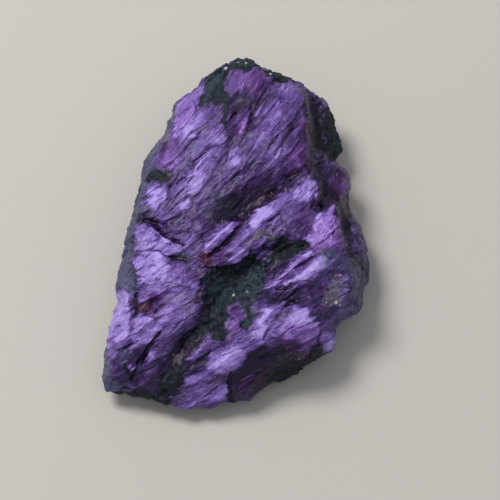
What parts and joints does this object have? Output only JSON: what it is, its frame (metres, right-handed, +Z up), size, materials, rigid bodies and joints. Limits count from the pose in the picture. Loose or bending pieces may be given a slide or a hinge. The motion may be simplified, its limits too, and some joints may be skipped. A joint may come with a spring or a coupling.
{
  "type": "rough purpurite",
  "caption": "Broken, splintery lump of violet purpurite with a blunt top end, stepped cleavage, a dark crumbly pocket and a small flat spot to rest on.",
  "frame": {"origin": "on the ground under the middle of the stone's box", "axes": "+Y towards the blunt top end of the broad face, +X to the right of it, +Z up out of the broad face"},
  "size_m": [0.0313, 0.045, 0.0124],
  "materials": {
    "purpurite": "satin"
  },
  "bodies": {
    "root": {"purpurite_stone": "purpurite"}
  },
  "joints": []
}
